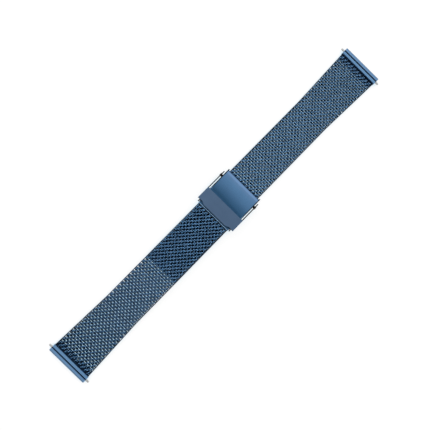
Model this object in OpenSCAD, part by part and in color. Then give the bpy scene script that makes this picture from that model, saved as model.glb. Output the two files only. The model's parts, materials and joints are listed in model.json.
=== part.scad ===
// Woven metal mesh watch bracelet with a sliding three-fold clasp, closed and lying outer side up.
// X runs along the strap, towards the half that carries the slider. Y runs across it and Z is up.
// The origin is at the middle of the length, on the surface that the bracelet lies on.

/* [Strap] */
// Gap between the watch's lugs that the strap fits
lug_gap = 20; // [18:0.5:24]
// Length of the closed strap laid flat, over both lug ends
strap_l = 186; // [150:1:226]
// Width of the mesh where it runs parallel
mesh_w = 17.2; // [14:0.1:21]
// Thickness of the mesh over its ribs
mesh_t = 1.2; // [1:0.05:1.45]
// Thickness of the mesh between its ribs
web_t = 0.9; // [0.7:0.05:0.95]
// Distance from one row of the weave to the next
row_pitch = 1.06; // [0.9:0.02:1.3]
// Length over which each half widens towards its lug end
taper_l = 29.7; // [20:0.5:36]

/* [Lug ends] */
// Height of the lug end's bar
lug_h = 2.7; // [2.6:0.05:3]
// Distance from the strap's end to the spring bar's axis
lug_out = 1.7; // [1.4:0.05:2.1]
// Distance from the spring bar's axis to the face that holds the mesh
lug_clamp_l = 1.65; // [1.5:0.05:2.1]
// Width of the groove along the top and bottom of the lug end
groove_w = 0.5; // [0.3:0.05:0.7]
// Depth of that groove
groove_t = 0.3; // [0.1:0.05:0.35]

/* [Spring bars] */
// Outer radius of the spring bar's tube
bar_r = 0.75; // [0.65:0.05:0.85]
// Radius of the tips that enter the lugs
tip_r = 0.45; // [0.35:0.05:0.55]
// Length of each tip beyond its shoulder
tip_l = 1.5; // [1:0.05:1.8]

/* [Slider] */
// Length of the sleeve that slides along the mesh
sleeve_l = 14.8; // [13:0.1:16]
// Thickness of the sleeve's side walls
sleeve_wall = 0.35; // [0.3:0.05:0.5]
// Thickness of the sleeve's floor
floor_t = 0.7; // [0.6:0.05:0.9]
// Thickness of the sleeve's roof
roof_t = 0.45; // [0.4:0.05:0.6]
// Thickness of the lock lever
lever_t = 0.45; // [0.4:0.05:0.6]
// Length of the lock lever from its pin
lever_l = 9.5; // [6:0.5:10]

/* [Folding clasp] */
// Place of the frame's pivot along the strap
clasp_x = -0.7; // [-10:0.1:10]
// Distance between the two pivots of the frame's rails
frame_l = 11.9; // [11:0.1:14.3]
// Radius of the clasp's hinge pins
pin_r = 0.35; // [0.3:0.01:0.45]
// Height of the frame's rails
rail_h = 1.1; // [0.9:0.05:1.3]
// Thickness of the frame's rails
rail_t = 0.45; // [0.35:0.05:0.6]
// Open gap between the rails and the cover
rail_gap = 0.5; // [0.3:0.05:0.8]
// Thickness of the cover's sheet, top and sides
cover_t = 0.45; // [0.35:0.05:0.6]
// Thickness of the matt band on the cover
band_t = 0.5; // [0.4:0.05:0.7]
// Length of the matt band along the strap
band_l = 6.35; // [5:0.05:8]
// Length of the band's tongue over the mesh's clamp
tongue_l = 0.75; // [0.4:0.05:0.9]
// Thickness of the tongue
tongue_t = 0.3; // [0.2:0.05:0.35]
// Width of the tongue's end
tongue_w = 12.6; // [8:0.1:15]
// Radius of the crown that the cover's sheet has from the band to its front
crown_r = 110; // [80:5:300]
// Length of the bevel behind the cover's front lip
lip_l = 1.6; // [1.2:0.1:2.2]
// How far that bevel falls below the crown by the cover's front
lip_drop = 0.3; // [0.15:0.05:0.4]
// Length of the strap's tail beyond the frame's pivot
tail_l = 35.8; // [26:0.1:43]

/* [Hidden] */
$fn = 48;

// Clearances: pins in their bores, fixed pins in their holes, the mesh in the sleeve, the folded parts
run_gap = 0.04;
fix_gap = 0.01;
slide_gap = 0.05;
fold_gap = 0.1;
bend_gap = 0.08;

// How many segments bend beyond the slider, over the tail and beyond the tail
a_count = 6;
b_over_count = 3;
b_free_count = 5;

// Widths across the strap, each one outside the last
sleeve_in_w = mesh_w + 2 * slide_gap;
sleeve_w = sleeve_in_w + 2 * sleeve_wall;
cover_in_w = sleeve_w + 2 * fold_gap;
cover_w = cover_in_w + 2 * cover_t;
rail_in_w = cover_w + 2 * rail_gap;
rail_out_w = rail_in_w + 2 * rail_t;
lug_end_w = lug_gap - 0.2;
mesh_lug_w = lug_end_w - 0.35;
clamp_w = sleeve_w - 0.4;

// Heights, from the surface up
floor_z = lever_t + 2 * slide_gap;
slot_z = floor_z + floor_t;
slot_h = mesh_t + 2 * slide_gap;
mesh_z = slot_z + slot_h / 2;
roof_z = slot_z + slot_h + roof_t;
knuckle_r = pin_r + 0.25;
pivot_z = roof_z + knuckle_r - fold_gap;
plate_z = pivot_z + knuckle_r + 2 * fold_gap;
cover_z = plate_z + cover_t;
wall_z = roof_z - fold_gap;
clamp_r = pin_r + 0.4;
clamp_z = cover_z - clamp_r - 2.5 * fold_gap;
tip_t = mesh_t + 0.25;
over_z = mesh_z + tip_t / 2 + fold_gap + mesh_t / 2;
lug_z = lug_h / 2 + 0.05;

// Places along the strap
sleeve_x = clasp_x - 1.3;
lever_x = sleeve_x + sleeve_l - 3.5;
lever_pin_z = floor_z + slide_gap;
p2_x = clasp_x + frame_l;
cover_x1 = p2_x + 4;
clamp_x = clasp_x - 2.6;
plate_x0 = clamp_x + clamp_r + 0.35;
band_x0 = clasp_x - 2.4;
crown_x = band_x0 + band_l - 0.5;
core_x1 = cover_x1 + 3.1;
tail_x0 = clasp_x - tail_l;
tip_len = 1.2;
over_x0 = tail_x0 - 1.7;
lug_x = strap_l / 2 - lug_out;
clamp_edge = clamp_r + 0.4;
groove_bevel = 0.08;

// How far the mesh reaches into each clamp, and the lever's pin
lug_tongue = 0.6;
tip_tongue = 0.6;
clamp_tongue = 0.5;
lever_pin_r = 0.25;

// Points in the plane of X and Z that the strap's centre line passes through
a_start = [core_x1, mesh_z];
a_lug = [lug_x, lug_z];
b_start = [clamp_x, clamp_z];
b_lug = [-lug_x, lug_z];
function over_point(i) = [clamp_x + (over_x0 - clamp_x) * i / b_over_count, i == 0 ? clamp_z : over_z];
b_free = over_point(b_over_count);
a_len = norm(a_lug - a_start);
b_len = norm(b_lug - b_free);
a_seg = (a_len - lug_clamp_l) / a_count;
b_seg = (b_len - lug_clamp_l) / b_free_count;

// Spring bar, from its middle outwards
shoulder_y = lug_gap / 2 - 0.05;
travel = tip_l + 0.02;
bar_end_y = shoulder_y - 0.35 - travel - 0.05;
crimp_y = bar_end_y - 0.35;
neck_r = tip_r - 0.17;
piston_r = bar_r - 0.27;
piston_l = 0.7;
coil_turns = 18;
coil_wire = 0.08;
coil_steps = 8;
coil_sides = 5;

mesh_blue = [0.20, 0.30, 0.42];
bright_blue = [0.26, 0.42, 0.58];
dull_blue = [0.32, 0.41, 0.52];
dark_steel = [0.20, 0.19, 0.19];
bare_steel = [0.72, 0.72, 0.70];

// Places children drawn along +X, from point p towards point q of the plane of X and Z
module along(p, q) {
  translate([p[0], 0, p[1]])
    rotate([0, -atan2(q[1] - p[1], q[0] - p[0]), 0])
      children();
}

// Turns a profile drawn as X and Z upright and gives it a width across the strap
module across(w) {
  rotate([90, 0, 0])
    linear_extrude(w, center = true)
      children();
}

// A round bar across the strap, between two distances from its centre line
module cross_bar(r, y0, y1) {
  translate([0, y0, 0])
    rotate([-90, 0, 0])
      cylinder(r = r, h = y1 - y0);
}

// A flat outline with round corners, from x0 to x1 and from z0 to z1
module soft_box(x0, x1, z0, z1, r) {
  translate([x0 + r, z0])
    square([x1 - x0 - 2 * r, z1 - z0]);
  translate([x0, z0 + r])
    square([x1 - x0, z1 - z0 - 2 * r]);
  for (x = [x0 + r, x1 - r], z = [z0 + r, z1 - r])
    translate([x, z])
      circle(r);
}

// Side profile of a stretch of mesh: a web with a rib for each row of the weave.
// A stretch starts at a socket or a plain tongue, and ends at a round nose or a tongue.
module mesh_profile(len, socket, nose, tongue) {
  rows = max(2, round(len / row_pitch));
  pitch = len / rows;
  x0 = socket ? 0 : -tongue;
  x1 = nose ? len : len + tongue;
  difference() {
    union() {
      translate([x0, -web_t / 2])
        square([x1 - x0, web_t]);
      for (k = [1 : nose ? rows : rows - 1])
        translate([k * pitch, 0])
          circle(mesh_t / 2);
    }
    if (socket)
      circle(mesh_t / 2 + bend_gap);
  }
}

// Plan outline of a half that ends at a lug, from its start to beyond its clamp's edge
module half_outline(len) {
  x1 = len - lug_clamp_l;
  polygon([
    [-2, -mesh_w / 2], [x1 - taper_l, -mesh_w / 2], [x1, -mesh_lug_w / 2], [x1 + 1, -mesh_lug_w / 2],
    [x1 + 1, mesh_lug_w / 2], [x1, mesh_lug_w / 2], [x1 - taper_l, mesh_w / 2], [-2, mesh_w / 2]
  ]);
}

// Segment number i of a half that ends at a lug
module lug_half_segment(i, count, seg, len) {
  wide = max(mesh_w, mesh_lug_w) + 2;
  color(mesh_blue)
    translate([i * seg, 0, 0])
      intersection() {
        across(wide)
          mesh_profile(seg, true, i < count - 1, lug_tongue);
        translate([-i * seg, 0, -mesh_t])
          linear_extrude(2 * mesh_t)
            half_outline(len);
      }
}
module mesh_a(i) {
  along(a_start, a_lug)
    lug_half_segment(i - 1, a_count, a_seg, a_len);
}

module mesh_b_free(i) {
  along(b_free, b_lug)
    lug_half_segment(i - 1, b_free_count, b_seg, b_len);
}

// Segment over the tail; the first one is held in the cover's clamp
module mesh_b_over(i) {
  p = over_point(i - 1);
  q = over_point(i);
  held = i == 1;
  skip = held ? clamp_edge : 0;
  color(mesh_blue)
    along(p, q)
      translate([skip, 0, 0])
        across(mesh_w)
          mesh_profile(norm(q - p) - skip, !held, true, clamp_tongue);
}
// The straight stretch that runs through the sleeve, and its tail
module mesh_a_core() {
  x0 = tail_x0 + tip_len;
  color(mesh_blue)
    translate([x0, 0, mesh_z])
      across(mesh_w)
        mesh_profile(core_x1 - x0, false, true, tip_tongue);
}
// Folded end that stops the tail from leaving the sleeve
module tail_tip() {
  color(bright_blue)
    translate([tail_x0, 0, mesh_z])
      difference() {
        across(mesh_w)
          soft_box(0, tip_len, -tip_t / 2, tip_t / 2, 0.3);
        translate([tip_len - tip_tongue, -mesh_w / 2 - 1, -web_t / 2])
          cube([tip_tongue + 1, mesh_w + 2, web_t]);
      }
}

// Bar that holds the mesh, bored for the spring bar, with a groove along its top and bottom over the bore
module lug_end() {
  color(bright_blue)
    difference() {
      across(lug_end_w)
        difference() {
          soft_box(-lug_clamp_l, lug_out, -lug_h / 2, lug_h / 2, 0.45);
          circle(bar_r + slide_gap);
          for (side = [0, 1])
            mirror([0, side])
              translate([0, lug_h / 2])
                polygon([
                  [-groove_w / 2, -groove_t], [groove_w / 2, -groove_t], [groove_w / 2, -groove_bevel],
                  [groove_w / 2 + groove_bevel, 0], [groove_w / 2 + groove_bevel, 1],
                  [-groove_w / 2 - groove_bevel, 1], [-groove_w / 2 - groove_bevel, 0],
                  [-groove_w / 2, -groove_bevel]
                ]);
        }
      translate([-lug_clamp_l - 1, -mesh_lug_w / 2, -web_t / 2])
        cube([lug_tongue + 1, mesh_lug_w, web_t]);
    }
}

module lug_end_a() {
  along(a_start, a_lug)
    translate([a_len, 0, 0])
      lug_end();
}

module lug_end_b() {
  along(b_free, b_lug)
    translate([b_len, 0, 0])
      lug_end();
}

module bar_tube() {
  color(bare_steel)
    difference() {
      cross_bar(bar_r, -bar_end_y, bar_end_y);
      cross_bar(piston_r + slide_gap, -crimp_y, crimp_y);
      cross_bar(neck_r + slide_gap, -lug_gap, lug_gap);
    }
}

// Plunger on the +Y end: piston inside the tube, neck, shoulder against the lug, and tip
module bar_plunger() {
  tip_end = shoulder_y + tip_l;
  bevel = 0.15;
  color(bare_steel) {
    cross_bar(piston_r, crimp_y - fold_gap / 2 - piston_l, crimp_y - fold_gap / 2);
    cross_bar(neck_r, crimp_y - piston_l, shoulder_y - 0.1);
    cross_bar(bar_r - fold_gap, shoulder_y - 0.35, shoulder_y);
    cross_bar(tip_r, shoulder_y - 0.1, tip_end - bevel);
    translate([0, tip_end - bevel, 0])
      rotate([-90, 0, 0])
        cylinder(r1 = tip_r, r2 = tip_r - bevel, h = bevel);
  }
}

// Fine compression spring between the two pistons
module bar_spring() {
  end_y = crimp_y - fold_gap - piston_l - coil_wire;
  rings = coil_turns * coil_steps;
  coil_r = piston_r - coil_wire - 0.02;
  rise = 2 * end_y / rings;
  slope = atan(rise * coil_steps / (2 * PI * coil_r));
  function ring_point(i, s) =
    let (turn = i * 360 / coil_steps, a = s * 360 / coil_sides,
         out = coil_r + coil_wire * cos(a), lift = coil_wire * sin(a))
      [out * cos(turn) + lift * sin(slope) * sin(turn),
       -end_y + i * rise + lift * cos(slope),
       out * sin(turn) - lift * sin(slope) * cos(turn)];
  points = [for (i = [0 : rings], s = [0 : coil_sides - 1]) ring_point(i, s)];
  sides = [
    for (i = [0 : rings - 1], s = [0 : coil_sides - 1], half = [0, 1])
      let (a = i * coil_sides + s, b = i * coil_sides + (s + 1) % coil_sides)
        half == 0 ? [a, a + coil_sides, b + coil_sides] : [a, b + coil_sides, b]
  ];
  first = [for (s = [1 : coil_sides - 2]) [0, s, s + 1]];
  last_ring = rings * coil_sides;
  last = [for (s = [1 : coil_sides - 2]) [last_ring, last_ring + s + 1, last_ring + s]];
  color(bare_steel)
    polyhedron(points, concat(sides, first, last));
}

module at_lug(p) {
  translate([p[0], 0, p[1]])
    children();
}

// Sleeve: a flat tube that the mesh slides through, with skirts round the lever and two hinge knuckles
module slider_sleeve() {
  x1 = sleeve_x + sleeve_l;
  knuckle_y = sleeve_w / 2 - 0.4;
  color(bright_blue)
    difference() {
      union() {
        translate([sleeve_x, 0, 0])
          rotate([90, 0, 90])
            linear_extrude(sleeve_l)
              difference() {
                soft_box(-sleeve_w / 2, sleeve_w / 2, 0, roof_z, 0.3);
                translate([-sleeve_in_w / 2, slot_z])
                  square([sleeve_in_w, slot_h]);
                translate([-sleeve_in_w / 2, -1])
                  square([sleeve_in_w, floor_z + 1]);
              }
        for (side = [-1, 1])
          translate([clasp_x, side * knuckle_y * 0.75, 0]) {
            translate([0, 0, pivot_z])
              cross_bar(knuckle_r, -knuckle_y / 4, knuckle_y / 4);
            translate([-knuckle_r, -knuckle_y / 4, roof_z - roof_t / 2])
              cube([2 * knuckle_r, knuckle_y / 2, pivot_z - roof_z + roof_t / 2]);
          }
      }
      translate([clasp_x, 0, pivot_z])
        cross_bar(pin_r + run_gap, -sleeve_w, sleeve_w);
      translate([lever_x - 1, -sleeve_in_w / 2, floor_z - 1])
        cube([2, sleeve_in_w, floor_t + 1.5]);
      translate([lever_x, 0, lever_pin_z])
        cross_bar(lever_pin_r + fix_gap, -sleeve_w, sleeve_w);
    }
}
module lock_lever_pin() {
  color(bare_steel)
    translate([lever_x, 0, lever_pin_z])
      cross_bar(lever_pin_r, -sleeve_w / 2 + 0.02, sleeve_w / 2 - 0.02);
}

// Lever under the sleeve. The raised centre of its barrel presses on the mesh while it is shut.
module lock_lever() {
  lever_w = sleeve_in_w - 0.7;
  lift = 0.12;
  cam_r = slot_z + slide_gap - lever_pin_z - lift - 0.03;
  nail_w = 5;
  color(dull_blue)
    difference() {
      union() {
        translate([lever_x, 0, lever_pin_z + lift])
          cross_bar(cam_r, -lever_w / 2, lever_w / 2);
        translate([lever_x - lever_l, 0, slide_gap])
          linear_extrude(lever_t)
            difference() {
              translate([0, -lever_w / 2])
                square([lever_l, lever_w]);
              translate([-0.4, 0])
                circle(nail_w / 4);
            }
      }
      translate([lever_x, 0, lever_pin_z])
        cross_bar(lever_pin_r + run_gap, -sleeve_w, sleeve_w);
    }
}

// Rail on the +Y side: a flat strip with an eye for the frame pin and one for the rivet
module frame_rail() {
  rail_x1 = p2_x + 2.2;
  color(dark_steel)
    translate([0, rail_in_w / 2 + rail_t / 2, 0])
      across(rail_t)
        difference() {
          union() {
            soft_box(clasp_x - rail_h / 2, rail_x1, pivot_z - rail_h / 2, pivot_z + rail_h / 2, rail_h / 2 - 0.01);
            translate([p2_x, pivot_z])
              circle(rail_h / 2 + 0.35);
          }
          translate([clasp_x, pivot_z])
            circle(pin_r + fix_gap);
          translate([p2_x, pivot_z])
            circle(pin_r + fix_gap);
        }
}

module frame_rail_left() {
  frame_rail();
}

module frame_rail_right() {
  mirror([0, 1, 0])
    frame_rail();
}

module frame_pin() {
  color(bare_steel)
    translate([clasp_x, 0, pivot_z])
      cross_bar(pin_r, -rail_out_w / 2, rail_out_w / 2);
}

// Headed rivets that join the rails to the cover's sides, with a collar that keeps them apart
module frame_rivets() {
  head_t = 0.25;
  color(dark_steel)
    for (side = [0, 1])
      mirror([0, side, 0])
        translate([p2_x, 0, pivot_z]) {
          cross_bar(pin_r, cover_in_w / 2 - 0.15, rail_out_w / 2);
          cross_bar(pin_r + 0.25, cover_w / 2 + slide_gap, rail_in_w / 2);
          cross_bar(pin_r + 0.4, rail_out_w / 2, rail_out_w / 2 + head_t / 2);
          translate([0, rail_out_w / 2 + head_t / 2, 0])
            rotate([-90, 0, 0])
              cylinder(r1 = pin_r + 0.4, r2 = pin_r + 0.1, h = head_t / 2);
        }
}

// Profile beyond which a crown of radius r has fallen away, towards the cover's front
module off_crown(r) {
  translate([crown_x, cover_z - crown_r])
    difference() {
      square(crown_r + 5);
      circle(r, $fn = 720);
    }
}

// Cover: one bent sheet with a crowned top, a bevelled, rolled front lip and two side walls over the frame pin
module cover_plate() {
  roll_r = 0.8;
  ear_x = cover_x1 + 0.35;
  lip_x = cover_x1 - lip_l;
  lip_z = cover_z - crown_r + sqrt(crown_r * crown_r - (lip_x - crown_x) * (lip_x - crown_x));
  roll_z = lip_z - lip_drop / 2 - roll_r;
  color(bright_blue)
    difference() {
      intersection() {
        across(cover_w)
          difference() {
            union() {
              soft_box(plate_x0, cover_x1, wall_z, cover_z, 0.01);
              translate([clamp_x, wall_z])
                square([plate_x0 - clamp_x + 1, clamp_z + 0.4 - wall_z]);
              translate([clamp_x, clamp_z])
                circle(clamp_z - wall_z);
            }
            off_crown(crown_r);
            translate([cover_x1 - roll_r, roll_z])
              difference() {
                square(roll_r + 2);
                circle(roll_r);
              }
            polygon([
              [lip_x, lip_z], [lip_x + 2 * lip_l, lip_z - 2 * lip_drop],
              [lip_x + 2 * lip_l, lip_z + 2], [lip_x, lip_z + 2]
            ]);
          }
        translate([clamp_x - 3, 0, 0])
          rotate([90, 0, 90])
            linear_extrude(ear_x - clamp_x + 6)
              soft_box(-cover_w / 2, cover_w / 2, wall_z - 2, cover_z, 0.5);
      }
      // Inside of the top sheet and of the rolled lip
      across(cover_in_w)
        difference() {
          translate([clamp_x - 3, wall_z - 1])
            square([cover_x1 - cover_t - clamp_x + 3, plate_z - wall_z + 1]);
          off_crown(crown_r - cover_t);
          translate([cover_x1 - roll_r, roll_z])
            difference() {
              square(roll_r + 2);
              circle(roll_r - cover_t);
            }
        }
      // The top sheet stops short of the clamp's barrel
      translate([clamp_x - 3, -cover_in_w / 2, wall_z - 1])
        cube([plate_x0 - clamp_x + 3, cover_in_w, 4]);
      // Slots that drop over the frame pin
      translate([clasp_x, 0, pivot_z])
        across(cover_w + 2) {
          circle(pin_r + 0.08);
          translate([-pin_r - 0.08, -2])
            square([2 * pin_r + 0.16, 2]);
        }
      translate([p2_x, 0, pivot_z])
        cross_bar(pin_r + run_gap, -cover_w, cover_w);
      translate([clamp_x, 0, clamp_z])
        cross_bar(pin_r + fix_gap, -cover_w, cover_w);
    }
  // Ears: the side walls run on past the lip
  color(bright_blue)
    for (side = [-1, 1])
      translate([0, side * (cover_w - cover_t) / 2, 0])
        across(cover_t)
          soft_box(cover_x1 - roll_r - 0.5, ear_x, wall_z, lip_z - 0.35, 0.3);
}

// Matt band across the cover, with turned-down ends that close over the rails and a tongue over the clamp
module cover_band() {
  color(dull_blue) {
    difference() {
      across(rail_out_w)
        soft_box(band_x0, band_x0 + band_l, pivot_z + rail_h / 2 + fold_gap, cover_z + band_t, 0.15);
      translate([band_x0 - 1, -rail_in_w / 2, cover_z - 2])
        cube([band_l + 2, rail_in_w, 2]);
    }
    intersection() {
      across(rail_in_w)
        soft_box(band_x0 - tongue_l, band_x0 + 2, cover_z + band_t - tongue_t, cover_z + band_t, tongue_t / 2 - 0.02);
      translate([band_x0, 0, cover_z - 1])
        linear_extrude(band_t + 2)
          polygon([
            [-tongue_l, -tongue_w / 2], [0, -tongue_w / 2 - 2 * tongue_l], [2, -tongue_w / 2 - 2 * tongue_l],
            [2, tongue_w / 2 + 2 * tongue_l], [0, tongue_w / 2 + 2 * tongue_l], [-tongue_l, tongue_w / 2]
          ]);
    }
  }
}

module clamp_pin() {
  color(bare_steel)
    translate([clamp_x, 0, clamp_z])
      cross_bar(pin_r, -cover_w / 2, cover_w / 2);
}

// Folded clamp that holds the mesh's end and turns on the cover's rear pin
module mesh_b_clamp() {
  clamp_t = web_t + 0.5;
  color(bright_blue)
    along(b_start, over_point(1))
      difference() {
        across(clamp_w)
          difference() {
            union() {
              circle(clamp_r);
              soft_box(0, clamp_edge, -clamp_t / 2, clamp_t / 2, 0.15);
            }
            circle(pin_r + run_gap);
          }
        translate([clamp_edge - clamp_tongue, -mesh_w / 2, -web_t / 2])
          cube([clamp_tongue + 1, mesh_w, web_t]);
      }
}

slider_sleeve();
lock_lever_pin();
lock_lever();
mesh_a_core();
tail_tip();
for (i = [1 : a_count])
  mesh_a(i);
lug_end_a();
at_lug(a_lug) bar_tube();  // spring_bar_a_tube
at_lug(a_lug) bar_spring();  // spring_bar_a_spring
at_lug(a_lug) bar_plunger();  // spring_bar_a_plunger_left
at_lug(a_lug) mirror([0, 1, 0]) bar_plunger();  // spring_bar_a_plunger_right
frame_rail_left();
frame_rail_right();
frame_pin();
frame_rivets();
cover_plate();
cover_band();
clamp_pin();
mesh_b_clamp();
for (i = [1 : b_over_count])
  mesh_b_over(i);
for (i = [1 : b_free_count])
  mesh_b_free(i);
lug_end_b();
at_lug(b_lug) bar_tube();  // spring_bar_b_tube
at_lug(b_lug) bar_spring();  // spring_bar_b_spring
at_lug(b_lug) bar_plunger();  // spring_bar_b_plunger_left
at_lug(b_lug) mirror([0, 1, 0]) bar_plunger();  // spring_bar_b_plunger_right
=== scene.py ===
"""Looks of the woven-mesh watch bracelet: wire coils for the ribbed bars, coated steel for the rest."""
import json
import math

import bmesh
import bpy
import numpy as np
from mathutils import Matrix, Vector


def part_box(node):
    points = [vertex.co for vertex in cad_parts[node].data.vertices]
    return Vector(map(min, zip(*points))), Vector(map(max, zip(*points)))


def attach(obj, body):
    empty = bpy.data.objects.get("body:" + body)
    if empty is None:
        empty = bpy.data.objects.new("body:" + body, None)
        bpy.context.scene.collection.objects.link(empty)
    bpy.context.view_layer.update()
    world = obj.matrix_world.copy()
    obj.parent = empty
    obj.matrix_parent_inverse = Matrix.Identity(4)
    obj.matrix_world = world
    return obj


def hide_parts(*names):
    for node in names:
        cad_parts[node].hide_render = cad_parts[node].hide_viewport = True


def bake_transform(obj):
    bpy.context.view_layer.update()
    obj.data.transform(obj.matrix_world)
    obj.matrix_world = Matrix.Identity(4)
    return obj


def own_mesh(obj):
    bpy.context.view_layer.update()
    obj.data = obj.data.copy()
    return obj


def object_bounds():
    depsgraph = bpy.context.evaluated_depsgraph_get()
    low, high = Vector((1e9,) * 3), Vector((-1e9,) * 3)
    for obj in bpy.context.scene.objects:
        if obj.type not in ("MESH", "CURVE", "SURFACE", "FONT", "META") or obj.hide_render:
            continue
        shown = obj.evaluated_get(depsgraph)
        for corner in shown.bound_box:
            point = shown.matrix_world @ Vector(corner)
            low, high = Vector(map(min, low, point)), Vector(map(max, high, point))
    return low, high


MM = 0.001
MM_PER_M = 1000

# The weave, in millimetres: its thickness, the radii of the coiled wire and of the edge wire, the width of
# one turn of a coil, the step from row to row, the length of a coil's flat sides, the radius of its bends,
# and how far a coil reaches along the strap from its middle
MESH_THICK = 1.2
WIRE = 0.276
RIM = 0.2
PITCH = 1.848
ROW = 1.08
FLAT = 2.0
ARC = MESH_THICK / 2 - WIRE
COIL_REACH = FLAT / 2 + ARC + WIRE
# Room between a coil's end and the edge wire, the length of the chamfer on a coil's end and the share of the
# radius that it leaves, the shortest stretch of wire beside it, and the step of the edge wire's rings
END_ROOM = 0.02
CHAMFER = 0.08
CHAMFER_SHARE = 0.62
SLIVER = 0.03
RIM_STEP = 0.9
# The lug end's face lies this far from the spring bar's axis, and the mesh widens over TAPER beside it
LUG_REACH = 1.65
TAPER = 29.7
# Where the weave starts along each path: the upper half's begins at the tail's fold, the lower half's at the
# clamp's edge
TAIL_START = 3.0
CLAMP_START = 1.15
SIDES = 8
AROUND = np.arange(SIDES) * 2 * math.pi / SIDES

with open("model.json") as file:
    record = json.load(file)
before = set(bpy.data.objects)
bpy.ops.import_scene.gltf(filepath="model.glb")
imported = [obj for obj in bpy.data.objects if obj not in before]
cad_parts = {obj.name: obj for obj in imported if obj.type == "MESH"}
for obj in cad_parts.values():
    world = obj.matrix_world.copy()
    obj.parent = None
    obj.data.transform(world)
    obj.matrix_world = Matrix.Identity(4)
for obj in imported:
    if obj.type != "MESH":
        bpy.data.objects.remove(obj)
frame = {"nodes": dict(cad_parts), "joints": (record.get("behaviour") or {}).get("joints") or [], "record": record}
cad_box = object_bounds()
scene = bpy.context.scene


def node_box(name):
    """The low and the high corner of a node's box, in millimetres."""
    low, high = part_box(name)
    return np.array(low) * MM_PER_M, np.array(high) * MM_PER_M


# Places that the CAD model fixes, in millimetres
hinge = {j["name"]: np.array(j["pos_m"]) * MM_PER_M for j in frame["joints"] if "pos_m" in j}
lug_axis = {key: hinge[f"spring_bar_{key}_turn"] for key in "ab"}
mesh_half = node_box("mesh_b_2")[1][1]
lug_half = node_box("mesh_a_6")[1][1]
tail_face = node_box("tail_tip")[1][0]


# Nodes of materials
def put(tree, value, socket):
    """Links a node's output to a socket, or sets a plain value on it."""
    if isinstance(value, bpy.types.NodeSocket):
        tree.links.new(value, socket)
    else:
        socket.default_value = value


def calc(tree, operation, *values):
    """One operation on node outputs and plain numbers."""
    node = tree.nodes.new("ShaderNodeMath")
    node.operation = operation
    for value, socket in zip(values, node.inputs):
        put(tree, value, socket)
    return node.outputs[0]


def mix(tree, a, b, factor=1.0, blend="MIX"):
    """Two colours mixed."""
    node = tree.nodes.new("ShaderNodeMix")
    node.data_type = "RGBA"
    node.blend_type = blend
    put(tree, factor, node.inputs["Factor"])
    put(tree, a, node.inputs["A"])
    put(tree, b, node.inputs["B"])
    return node.outputs["Result"]


def product(tree, a, b):
    """Two colours multiplied."""
    return mix(tree, a, b, blend="MULTIPLY")


def noise(tree, scale, detail=3.0, stretch=(1, 1, 1), roughness=0.5):
    """Noise in the row frame's metres, stretched along the axes."""
    coords = tree.nodes.new("ShaderNodeTexCoord")
    mapping = tree.nodes.new("ShaderNodeMapping")
    mapping.inputs["Scale"].default_value = stretch
    tree.links.new(coords.outputs["Object"], mapping.inputs["Vector"])
    tex = tree.nodes.new("ShaderNodeTexNoise")
    tex.inputs["Scale"].default_value = scale
    tex.inputs["Detail"].default_value = detail
    tex.inputs["Roughness"].default_value = roughness
    tree.links.new(mapping.outputs["Vector"], tex.inputs["Vector"])
    return tex.outputs["Fac"]


# Most of a noise's values lie between these two
NOISE_LOW = 0.3
NOISE_HIGH = 0.7


def ramp(tree, source, stops):
    """A colour ramp from (place, colour) pairs."""
    node = tree.nodes.new("ShaderNodeValToRGB")
    marks = node.color_ramp.elements
    while len(marks) < len(stops):
        marks.new(0.5)
    for mark, (place, colour) in zip(marks, stops):
        mark.position = place
        mark.color = (*colour, 1)
    tree.links.new(source, node.inputs["Fac"])
    return node.outputs["Color"]


def two_tone(tree, source, dark, light):
    """A colour that drifts with a noise."""
    return ramp(tree, source, [(NOISE_LOW, dark), (NOISE_HIGH, light)])


def spread(tree, source, low, high, from_low=NOISE_LOW, from_high=NOISE_HIGH):
    """Maps a value to a range."""
    node = tree.nodes.new("ShaderNodeMapRange")
    node.inputs["From Min"].default_value = from_low
    node.inputs["From Max"].default_value = from_high
    node.inputs["To Min"].default_value = low
    node.inputs["To Max"].default_value = high
    tree.links.new(source, node.inputs["Value"])
    return node.outputs["Result"]


def along_axis(tree, axis):
    """One coordinate in the row frame, in millimetres."""
    coords = tree.nodes.new("ShaderNodeTexCoord")
    parts = tree.nodes.new("ShaderNodeSeparateXYZ")
    tree.links.new(coords.outputs["Object"], parts.inputs["Vector"])
    return calc(tree, "MULTIPLY", parts.outputs[axis], MM_PER_M)


# Steel finishes
BUMP_DEPTH = 0.00001


def steel(name, metal=1.0):
    """A new material, its node tree and its shader."""
    mat = bpy.data.materials.new(name)
    mat.use_nodes = True
    shader = mat.node_tree.nodes["Principled BSDF"]
    shader.inputs["Metallic"].default_value = metal
    return mat, mat.node_tree, shader


def coat(tree, shader, colour, rough, height=None, strength=0.0):
    """Gives a shader its colour, its roughness and, with a height, fine relief."""
    tree.links.new(colour, shader.inputs["Base Color"])
    tree.links.new(rough, shader.inputs["Roughness"])
    if height is not None:
        node = tree.nodes.new("ShaderNodeBump")
        node.inputs["Strength"].default_value = strength
        node.inputs["Distance"].default_value = BUMP_DEPTH
        tree.links.new(height, node.inputs["Height"])
        tree.links.new(node.outputs["Normal"], shader.inputs["Normal"])


def mottled(name, tone, colours, grain, rough, metal=1.0, relief=0.0):
    """Steel whose colour drifts between two with one noise and whose roughness drifts over a range with a
    second, which may also stand out as relief. A noise is (scale, detail, stretch, roughness)."""
    mat, tree, shader = steel(name, metal)
    colour = two_tone(tree, noise(tree, *tone), *colours)
    lines = noise(tree, *grain)
    coat(tree, shader, colour, spread(tree, lines, *rough), lines if relief else None, relief)
    return mat


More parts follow.
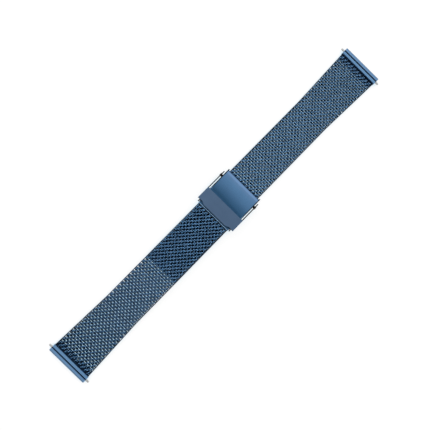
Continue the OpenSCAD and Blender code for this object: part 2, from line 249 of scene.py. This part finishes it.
def wire_material():
    """The blue coating of the coils, with a clear sheen; its blue is kept darker than the plate's as painted shade
    between the wires.
    """
    mat, tree, shader = steel("mesh_wire")
    shader.inputs["Coat Weight"].default_value = 0.5
    shader.inputs["Coat Roughness"].default_value = 0.17
    tone = noise(tree, 900, 4, (0.4, 1, 1))
    # Darker than the plate's blue: painted shade for the gaps between the wires
    colour = two_tone(tree, tone, (0.005, 0.034, 0.078), (0.012, 0.052, 0.108))
    coat(tree, shader, colour, spread(tree, noise(tree, 2600), 0.2, 0.31), noise(tree, 7000, 2), 0.15)
    return mat


# Noise of fine lines across the strap
SATIN = (900, 3, (1, 0.03, 1), 0.6)


def cover_material(wall):
    """Satin steel in blue with painted light and shade: painted shade darkens it to teal beside the band, and a
    painted sheen makes it paler at the lip. Painted shade makes the side walls, further out than wall in
    millimetres, very dark."""
    mat, tree, shader = steel("plate_steel")
    band_x, lip_x = 2, 16
    wall_shade_fade = 0.15
    place = spread(tree, along_axis(tree, "X"), 0, 1, band_x, lip_x)
    # Painted shade beside the band and a painted sheen towards the lip, along the plate
    blue = ramp(tree, place, [
        (0.0, (0.068, 0.252, 0.52)),
        (0.45, (0.122, 0.286, 0.53)),
        (0.7, (0.130, 0.288, 0.52)),
        (0.86, (0.165, 0.300, 0.52)),
        (1.0, (0.185, 0.31, 0.53)),
    ])
    tone = two_tone(tree, noise(tree, 160), (0.93, 0.93, 0.94), (1, 1, 1))
    # Painted shade: the side walls past wall go very dark
    outward = calc(tree, "ABSOLUTE", along_axis(tree, "Y"))
    painted_wall_shade = spread(tree, outward, 0, 1, wall, wall + wall_shade_fade)
    colour = mix(tree, product(tree, blue, tone), (0.015, 0.02, 0.03, 1), painted_wall_shade)
    lines = noise(tree, *SATIN)
    coat(tree, shader, colour, spread(tree, lines, 0.18, 0.26), lines, 0.08)
    return mat


def lug_material(key, outward):
    """Satin steel with painted shade, very dark, in the groove over the spring bar, between an inner bar and an
    outer one.
    """
    mat, tree, shader = steel(f"lug_steel_{key}")
    axis = lug_axis[key][0]
    reach = 2 * outward
    place = spread(tree, along_axis(tree, "X"), 0, 1, axis - reach, axis + reach)
    inner = (0.18, 0.36, 0.61)
    outer = (0.20, 0.37, 0.62)
    groove_shade = (0.006, 0.010, 0.02)
    # Painted shade fills the groove between the inner and the outer bar
    bars = ramp(tree, place, [
        (0.0, inner),
        (0.43, inner),
        (0.45, groove_shade),
        (0.55, groove_shade),
        (0.57, outer),
        (1.0, outer),
    ])
    tone = two_tone(tree, noise(tree, 300, 3, (1, 0.2, 1)), (0.9, 0.9, 0.9), (1, 1, 1))
    coat(tree, shader, product(tree, bars, tone), spread(tree, noise(tree, *SATIN), 0.3, 0.38))
    return mat


def clamp_material(edge):
    """The strip that grips the mesh: painted shade over its fold, and a pale painted highlight along its free
    edge.
    """
    mat, tree, shader = steel("clamp_steel")
    strip_l = 1
    place = spread(tree, along_axis(tree, "X"), 0, 1, edge, edge + strip_l)
    # A pale painted highlight along the free edge, then painted shade over the rest of the strip
    colour = ramp(tree, place, [
        (0.0, (0.42, 0.66, 0.90)),
        (0.2, (0.34, 0.56, 0.82)),
        (0.26, (0.03, 0.07, 0.13)),
        (1.0, (0.04, 0.10, 0.19)),
    ])
    coat(tree, shader, colour, spread(tree, noise(tree, 1500, 3, (1, 0.3, 1)), 0.42, 0.58))
    return mat


finish = {
    "mesh": wire_material(),
    "bright_blue": mottled("bright_blue_steel", (160,), [(0.12741, 0.28365, 0.517), (0.137, 0.305, 0.55)],
                           SATIN, (0.18, 0.26), relief=0.08),
    "matt_blue": mottled("matt_blue_steel", (220, 4), [(0.048, 0.086, 0.149), (0.054, 0.096, 0.163)],
                         (6000, 2), (0.5, 0.62), metal=0.75, relief=0.25),
    "dark_steel": mottled("dark_steel", (500, 3, (0.3, 1, 1)), [(0.018, 0.017, 0.02), (0.045, 0.04, 0.038)],
                          (2500, 3, (0.1, 1, 1)), (0.28, 0.42)),
    "bare_steel": mottled("bare_steel", (700,), [(0.74, 0.74, 0.73), (0.86, 0.86, 0.84)],
                          (3000, 3, (1, 0.2, 1)), (0.2, 0.34)),
}
# Very dark: the edge wires of the mesh, and the painted shade of the sheets beside the lug ends
rim_and_shade_finish = mottled("mesh_rim", (700, 4, (0.3, 1, 1)), [(0.006, 0.012, 0.024), (0.016, 0.028, 0.05)],
                     (2400, 3, (0.2, 1, 1)), (0.34, 0.5))
# The painted shade on the cover's side walls reaches this far in from its sides, in millimetres
COVER_SHADED_SIDE = 0.5
own_finish = {
    "lug_end_a": lug_material("a", 1),
    "lug_end_b": lug_material("b", -1),
    "mesh_b_clamp": clamp_material(node_box("mesh_b_clamp")[0][0]),
    "cover_plate": cover_material(node_box("cover_plate")[1][1] - COVER_SHADED_SIDE),
}
slot_of = {p["node"]: p["material_slot"] for p in frame["record"]["subparts"]}
for name, ob in frame["nodes"].items():
    ob.data.materials.clear()
    ob.data.materials.append(own_finish.get(name, finish[slot_of[name]]))


# Shapes
def add_object(name, data):
    """A new object in the scene, from a mesh, a lamp or a camera."""
    ob = bpy.data.objects.new(name, data)
    scene.collection.objects.link(ob)
    return ob


def cut_off(bm, point, outward):
    """Removes what lies beyond a plane and closes the cut."""
    geom = bm.verts[:] + bm.edges[:] + bm.faces[:]
    found = bmesh.ops.bisect_plane(
        bm, geom=geom, dist=1e-7, plane_co=point, plane_no=outward, clear_outer=True)
    edges = [e for e in found["geom_cut"] if isinstance(e, bmesh.types.BMEdge)]
    bmesh.ops.holes_fill(bm, edges=edges, sides=0)


def finish_mesh(me, cuts=()):
    """Cuts a mesh at (point, outward) planes and turns its faces outwards."""
    bm = bmesh.new()
    bm.from_mesh(me)
    for point, outward in cuts:
        cut_off(bm, point, outward)
    bmesh.ops.recalc_face_normals(bm, faces=bm.faces[:])
    bm.to_mesh(me)
    bm.free()


class Path:
    """The centre line of one half in the plane of X and Z, through its hinges to the spring bar's axis."""

    def __init__(self, points):
        self.p = np.array(points, float)
        step = np.diff(self.p, axis=0)
        self.s = np.r_[0, np.cumsum(np.hypot(step[:, 0], step[:, 1]))]
        self.face = self.s[-1] - LUG_REACH

    def at(self, s):
        """The point at a distance along the line."""
        return np.array([np.interp(s, self.s, self.p[:, 0]), np.interp(s, self.s, self.p[:, 1])])

    def heading(self, s, reach=1.2):
        """The line's direction there, evened out over a short reach."""
        d = self.at(s + reach) - self.at(s - reach)
        return d / np.hypot(*d)

    def metres(self, s):
        """The point there in the row frame, in metres."""
        p = self.at(s)
        return (p[0] * MM, 0, p[1] * MM)


def width_at(distance):
    """Half of the strap's width at a distance from the lug end's face."""
    share = np.clip(1 - distance / TAPER, 0, 1)
    return mesh_half + (lug_half - mesh_half) * share


def turn_line():
    """One turn of a coil as (x, share of the turn, z), from the start of its top flat."""
    flat_share, arc_share = 0.3, 0.2
    flat_steps, arc_steps = 2, 4
    rows = []
    for way, start in ((1, 0), (-1, 0.5)):
        for k in range(flat_steps):
            x = -FLAT / 2 + FLAT * k / flat_steps
            rows.append((way * x, start + flat_share * k / flat_steps, way * ARC))
        for k in range(arc_steps):
            t = math.pi * k / arc_steps
            x = FLAT / 2 + ARC * math.sin(t)
            rows.append((way * x, start + flat_share + arc_share * k / arc_steps, way * ARC * math.cos(t)))
    return np.array(rows)


TURN = turn_line()


def coil_line(half, phase):
    """Centre line of one row's coil, between the edge wires of a strap with the given half width."""
    end = half - 2 * RIM - END_ROOM
    first = math.floor((-end - phase) / PITCH) - 1
    last = math.ceil((end - phase) / PITCH) + 1
    turns = []
    for n in range(last, first, -1):
        turn = TURN.copy()
        turn[:, 1] = phase + PITCH * n - turn[:, 1] * PITCH
        turns.append(turn)
    pts = np.vstack(turns)
    y = -pts[:, 1]
    cut = [np.array([np.interp(v, y, pts[:, 0]), -v, np.interp(v, y, pts[:, 2])]) for v in (-end, end)]
    # A point very near a cut end would make a sliver
    inside = np.abs(y) < end - SLIVER
    return np.vstack([cut[0], pts[inside], cut[1]])


def beyond(a, b):
    """The point a chamfer's length past b on the line from a."""
    return a + (b - a) * (1 + CHAMFER / np.linalg.norm(b - a))


def tube(line):
    """Rings of the wire round a line that never runs along Y, with a small chamfer at each end."""
    pts = np.vstack([beyond(line[1], line[0]), line, beyond(line[-2], line[-1])])
    radii = np.r_[WIRE * CHAMFER_SHARE, np.full(len(line), WIRE), WIRE * CHAMFER_SHARE]
    tangent = np.gradient(pts, axis=0)
    tangent /= np.linalg.norm(tangent, axis=1)[:, None]
    normal = np.cross([0, 1, 0], tangent)
    normal /= np.linalg.norm(normal, axis=1)[:, None]
    side = np.cross(tangent, normal)
    ring = normal[:, None] * np.cos(AROUND)[None, :, None] + side[:, None] * np.sin(AROUND)[None, :, None]
    return pts[:, None] + ring * radii[:, None, None]


def coil_points(path, s, phase):
    """Points of the coil's rings at a distance along the path, in the row frame."""
    local = tube(coil_line(width_at(path.face - s), phase)).reshape(-1, 3)
    centre = path.at(s)
    h = path.heading(s)
    # X of the coil runs along the path, and a half turn about Z keeps its hand
    way = np.sign(h[0])
    out = np.empty_like(local)
    out[:, 0] = centre[0] + local[:, 0] * h[0] - local[:, 2] * h[1] * way
    out[:, 1] = local[:, 1] * way
    out[:, 2] = centre[1] + local[:, 0] * h[1] + local[:, 2] * abs(h[0])
    return out


def rim_points(path, start, end, side):
    """Points of the edge wire's rings on one side, between two distances along the path."""
    rings = []
    for s in np.linspace(start, end, max(2, round((end - start) / RIM_STEP)) + 1):
        centre = path.at(s)
        h = path.heading(s)
        way = np.sign(h[0])
        y = side * (width_at(path.face - s) - RIM)
        up = np.array([-h[1] * way, 0, abs(h[0])])
        ring = np.cos(AROUND)[:, None] * up + np.sin(AROUND)[:, None] * np.array([0, way, 0])
        rings.append(np.array([centre[0], y, centre[1]]) + RIM * ring)
    return np.vstack(rings)


def woven(name, path, rows, trims, span, shift):
    """Coils at the given (distance along the path, row number) pairs and two rims over a span, as one mesh.
    trims are (distance, side to cut) pairs."""
    wires = [coil_points(path, s, shift + PITCH / 4 * (1 if number % 2 else -1)) for s, number in rows]
    coil_verts = sum(len(points) for points in wires)
    wires += [rim_points(path, *span, side) for side in (-1, 1)]
    quads, caps = [], []
    base = 0
    j = np.arange(SIDES)
    k = (j + 1) % SIDES
    for points in wires:
        last = base + len(points) - SIDES
        i = np.arange(base, last, SIDES)[:, None]
        quads.append(np.stack([i + j, i + SIDES + j, i + SIDES + k, i + k], axis=-1).reshape(-1, 4))
        caps += [base + j, last + j[::-1]]
        base += len(points)
    me = bpy.data.meshes.new(name)
    faces = np.vstack(quads).tolist() + np.vstack(caps).tolist()
    me.from_pydata((np.vstack(wires) * MM).tolist(), [], faces)
    me.validate()
    me.materials.append(finish["mesh"])
    me.materials.append(rim_and_shade_finish)
    for poly in me.polygons:
        poly.use_smooth = True
        poly.material_index = int(poly.vertices[0] >= coil_verts)
    cuts = []
    for s, keep in trims:
        p = path.at(s)
        h = path.heading(s) * keep
        cuts.append((Vector((p[0], 0, p[1])) * MM, Vector((h[0], 0, h[1]))))
    finish_mesh(me, cuts)
    ob = add_object(name, me)
    return ob


def build_half(key, path, first_s, bodies, first_node, shift):
    """The weave of one half from first_s along its path to the lug end, parted midway between the bends. The
    first piece rides on the first body; each other one is left where it is built, and its body's node is hidden."""
    count = round((path.face - first_s) / ROW)
    pitch = (path.face - first_s) / count
    bends = path.s[1:-1]
    mids = [(a + b) / 2 for a, b in zip(bends, bends[1:])]
    marks = [bends[0] - (mids[0] - bends[0])] + mids
    edges = [first_s] + marks + [path.face]
    groups = [[] for _ in bodies]
    for k in range(count):
        s = first_s + pitch * (k + 0.5)
        groups[sum(s > mark for mark in marks)].append((s, k))
    for i, rows in enumerate(groups):
        trims = []
        if i == 0:
            trims.append((first_s, -1))
        if i == len(groups) - 1:
            trims.append((path.face, 1))
        ob = woven(f"weave_{key}_{i}", path, rows, trims, edges[i:i + 2], shift)
        if i == 0:
            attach(ob, bodies[0])
            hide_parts(first_node)
            continue
        # The end rows hook into the next piece's; reach is how far the rows on either side stay clear of the bend
        bend = bends[i - 1]
        reach = min(bend - (rows[0][0] + COIL_REACH), rows[-1][0] - COIL_REACH - bend)
        start, end = path.metres(bend - reach), path.metres(bend + reach)
        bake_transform(ob)
        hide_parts(bodies[i])


def solder_and_shade(key, path, body):
    """Solder in painted shade, very dark, that fills the last rows beside the lug end, with an uneven edge, on the
    last body.
    """
    h = path.heading(path.face)
    way = np.sign(h[0])
    steps = 36
    mean_depth = 2.5
    half_t = 0.27
    face_room, side_room = 0.05, 0.3
    edge_l, edge_share = 0.4, 0.35
    verts = []
    for k in range(steps + 1):
        share = 2 * k / steps - 1
        depth = mean_depth + 0.28 * math.sin(9.1 * share)
        depth += 0.2 * math.sin(23 * share + 1)
        depth += 0.12 * math.sin(47 * share)
        for back, thin in ((face_room, 1.0), (depth - edge_l, 1.0), (depth, edge_share)):
            centre = path.at(path.face - back)
            y = share * (width_at(back) - side_room)
            for t in (-half_t * thin, half_t * thin):
                verts.append((centre[0] - h[1] * way * t, y, centre[1] + abs(h[0]) * t))
    faces = []
    ring = (0, 2, 4, 5, 3, 1)
    for k in range(steps):
        a, b = 6 * k, 6 * k + 6
        for p, q in zip(ring, ring[1:] + ring[:1]):
            faces.append((a + p, a + q, b + q, b + p))
    faces.append((0, 1, 3, 5, 4, 2))
    faces.append([6 * steps + p for p in (2, 4, 5, 3, 1, 0)])
    me = bpy.data.meshes.new(f"solder_{key}")
    me.from_pydata((np.array(verts) * MM).tolist(), [], faces)
    finish_mesh(me)
    # Very dark finish: painted shade for the holes of the last rows
    me.materials.append(rim_and_shade_finish)
    ob = add_object(f"solder_{key}", me)
    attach(ob, body)


def hinge_point(name):
    """A hinge's place in the plane of X and Z."""
    return hinge[name][0], hinge[name][2]


# Upper half: straight through the sleeve, then six bends to the lug end
a_bends = [hinge_point(f"mesh_a_bend_{i}") for i in range(1, 7)]
a_tail = (tail_face - TAIL_START, a_bends[0][1])
a_path = Path([a_tail] + a_bends + [hinge_point("spring_bar_a_turn")])
a_bodies = ["tail_mesh"] + [f"mesh_a_{i}" for i in range(1, 7)]
# Lower half: from the clamp over the tail, then on to the other lug end
b_bends = [hinge_point(f"mesh_b_bend_{i}") for i in range(1, 8)]
b_path = Path([hinge_point("clamp_hinge")] + b_bends + [hinge_point("spring_bar_b_turn")])
b_bodies = [f"mesh_b_{i}" for i in range(1, 9)]
# A quarter of a turn between the halves keeps the holes apart where one lies over the other
build_half("a", a_path, TAIL_START, a_bodies, "mesh_a_core", PITCH / 4)
build_half("b", b_path, CLAMP_START, b_bodies, "mesh_b_1", 0)
solder_and_shade("a", a_path, "mesh_a_6")
solder_and_shade("b", b_path, "mesh_b_8")

# Each spring is cut in two halves at the bar's middle, both riding on the spring bar
for key in "ab":
    bar = f"spring_bar_{key}"
    whole = frame["nodes"][bar + "_spring"]
    middle = Vector((lug_axis[key][0] * MM, 0, lug_axis[key][2] * MM))
    for side, sign in (("left", 1), ("right", -1)):
        bm = bmesh.new()
        bm.from_mesh(whole.data)
        bm.transform(whole.matrix_world)
        cut_off(bm, middle, Vector((0, -sign, 0)))
        me = bpy.data.meshes.new(f"spring_{key}_{side}")
        bm.to_mesh(me)
        bm.free()
        me.materials.append(finish["bare_steel"])
        ob = add_object(f"spring_{key}_{side}", me)
        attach(ob, bar)
        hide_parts(bar + "_spring")
        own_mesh(ob)


# Floor
def openness(tree, distance, samples):
    """How open a place is to what lies within a distance in metres, from 0 to 1."""
    node = tree.nodes.new("ShaderNodeAmbientOcclusion")
    node.samples = samples
    node.inputs["Distance"].default_value = distance
    return node.outputs["AO"]


def glow(tree, strength):
    """A surface that gives off white light."""
    node = tree.nodes.new("ShaderNodeEmission")
    tree.links.new(strength, node.inputs["Strength"])
    return node


def floor_material():
    """White, with a soft shadow beside the object, mostly painted from how open the floor is and partly cast by
    the lamps, and a painted blue-white glow beneath the strap. Where the floor is open the camera sees the white
    backdrop through it, so a half that hangs lower than the floor still shows."""
    mat = bpy.data.materials.new("floor_white")
    mat.use_nodes = True
    tree = mat.node_tree
    tree.nodes.clear()
    ray = tree.nodes.new("ShaderNodeLightPath")
    by_camera = ray.outputs["Is Camera Ray"]
    # A small share of the white is lit by the lamps, and the backdrop's white makes up the rest
    lit = 0.03
    full = 1.03 - lit * 0.9
    matt = tree.nodes.new("ShaderNodeBsdfDiffuse")
    matt.inputs["Color"].default_value = (lit, lit, lit, 1)
    near = openness(tree, 0.005, 12)
    wide = openness(tree, 0.03, 16)
    hidden, open_from = 0.12, 0.35
    # Painted light: where the floor is hidden beneath the strap it glows blue-white, and the same blue colours the
    # clear floor there
    painted_tint = ramp(tree, near, [(0.3, (0.62, 0.86, 1.0)), (0.7, (1, 1, 1))])
    painted_glow_level = spread(tree, near, 1.2 * full, 0, hidden, open_from)
    painted_glow = glow(tree, calc(tree, "MULTIPLY", painted_glow_level, by_camera))
    tree.links.new(painted_tint, painted_glow.inputs["Color"])
    # Painted shadow beside the object, from how open the floor is
    shade = spread(tree, wide, 0.92, 1, 0.5, 1)
    seen = calc(tree, "MULTIPLY", spread(tree, near, 0, full, hidden, open_from), shade)
    clear = tree.nodes.new("ShaderNodeBsdfTransparent")
    tree.links.new(product(tree, calc(tree, "MULTIPLY", seen, by_camera), painted_tint), clear.inputs["Color"])
    by_mirror = calc(tree, "ADD", ray.outputs["Is Glossy Ray"], ray.outputs["Is Transmission Ray"])
    # In reflections the floor glows, with painted shade where it is hidden beneath the object
    mirrored = glow(tree, calc(tree, "MULTIPLY", spread(tree, near, 0.13, 0.75, 0.2, 0.6), by_mirror))
    total = matt
    for part in (painted_glow, clear, mirrored):
        both = tree.nodes.new("ShaderNodeAddShader")
        tree.links.new(total.outputs[0], both.inputs[0])
        tree.links.new(part.outputs[0], both.inputs[1])
        total = both
    # From below the floor is clear, so that the underside can be looked at
    side = tree.nodes.new("ShaderNodeNewGeometry")
    window = tree.nodes.new("ShaderNodeBsdfTransparent")
    pick = tree.nodes.new("ShaderNodeMixShader")
    out = tree.nodes.new("ShaderNodeOutputMaterial")
    tree.links.new(side.outputs["Backfacing"], pick.inputs["Fac"])
    tree.links.new(total.outputs[0], pick.inputs[1])
    tree.links.new(window.outputs[0], pick.inputs[2])
    tree.links.new(pick.outputs[0], out.inputs["Surface"])
    return mat


FLOOR_HALF = 3
FLOOR_GAP = 0.00002
bm = bmesh.new()
bmesh.ops.create_grid(bm, x_segments=1, y_segments=1, size=FLOOR_HALF)
me = bpy.data.meshes.new("floor")
bm.to_mesh(me)
bm.free()
me.materials.append(floor_material())
floor = add_object("floor", me)
floor.location.z = cad_box[0].z - FLOOR_GAP

scene.view_settings.view_transform = "Standard"
# Sky: the product of grey levels along each axis, and white to the camera
world = bpy.data.worlds.new("studio")
scene.world = world
world.use_nodes = True
tree = world.node_tree
tree.nodes.clear()
coords = tree.nodes.new("ShaderNodeTexCoord")
axes = tree.nodes.new("ShaderNodeSeparateXYZ")
tree.links.new(coords.outputs["Generated"], axes.inputs["Vector"])
levels = {
    "Z": [(-0.1, 0.05), (0.25, 0.1), (0.6, 0.4), (0.9, 0.7), (1.0, 0.7)],
    "X": [(-1.0, 0.2), (-0.4, 0.6), (-0.18, 1.6), (-0.08, 1.4), (0.04, 0.06), (0.17, 0.03), (0.27, 0.85),
          (0.36, 1.05), (0.5, 1.5), (0.7, 1.9), (1.0, 0.8)],
    "Y": [(-1.0, 0.1), (-0.4, 0.2), (-0.15, 1.0), (0.15, 1.0), (0.4, 0.2), (1.0, 0.1)],
}
height, along, across = [
    ramp(tree, spread(tree, axes.outputs[axis], 0, 1, -1, 1), [((v + 1) / 2, (g, g, g)) for v, g in stops])
    for axis, stops in levels.items()
]
level = product(tree, product(tree, height, along), across)
ray = tree.nodes.new("ShaderNodeLightPath")
sky = tree.nodes.new("ShaderNodeBackground")
out = tree.nodes.new("ShaderNodeOutputWorld")
tree.links.new(mix(tree, level, (1, 1, 1, 1), ray.outputs["Is Camera Ray"]), sky.inputs["Color"])
tree.links.new(sky.outputs[0], out.inputs["Surface"])


def softbox(name, place, size, power):
    """An area lamp at a place in metres, turned to the origin."""
    data = bpy.data.lights.new(name, "AREA")
    data.shape = "RECTANGLE"
    data.size, data.size_y = size
    data.energy = power
    ob = add_object(name, data)
    ob.location = place
    ob.rotation_mode = "QUATERNION"
    ob.rotation_quaternion = Vector(place).to_track_quat("Z", "Y")


softbox("key", (0.2, 0.60, 0.55), (0.62, 0.36), 12)
softbox("rim", (0.2, -0.62, 0.50), (0.6, 0.36), 5)

# The camera as fitted to the photograph: it looks down, leaning a little towards the lower half
CAMERA_DISTANCE = 0.380
SENSOR = 36
FOCAL_PIXELS = 877.5
FRAME_PIXELS = 430
target = Vector((-0.00317, -0.00016, 0.003))
tilt, turn, roll = math.radians(8.28), math.radians(174.3), math.radians(44.2)
back = Vector((math.sin(tilt) * math.cos(turn), math.sin(tilt) * math.sin(turn), math.cos(tilt)))
right = Vector((math.cos(roll), math.sin(roll), 0)).cross(back).normalized()
up = back.cross(right)
pose = Matrix((right, up, back)).transposed().to_4x4()
pose.translation = target + back * CAMERA_DISTANCE
cam_data = bpy.data.cameras.new("camera")
cam_data.sensor_width = SENSOR
cam_data.lens = FOCAL_PIXELS / FRAME_PIXELS * SENSOR
cam_data.clip_start, cam_data.clip_end = 0.01, 20
cam = add_object("camera", cam_data)
cam.matrix_world = pose
scene.camera = cam
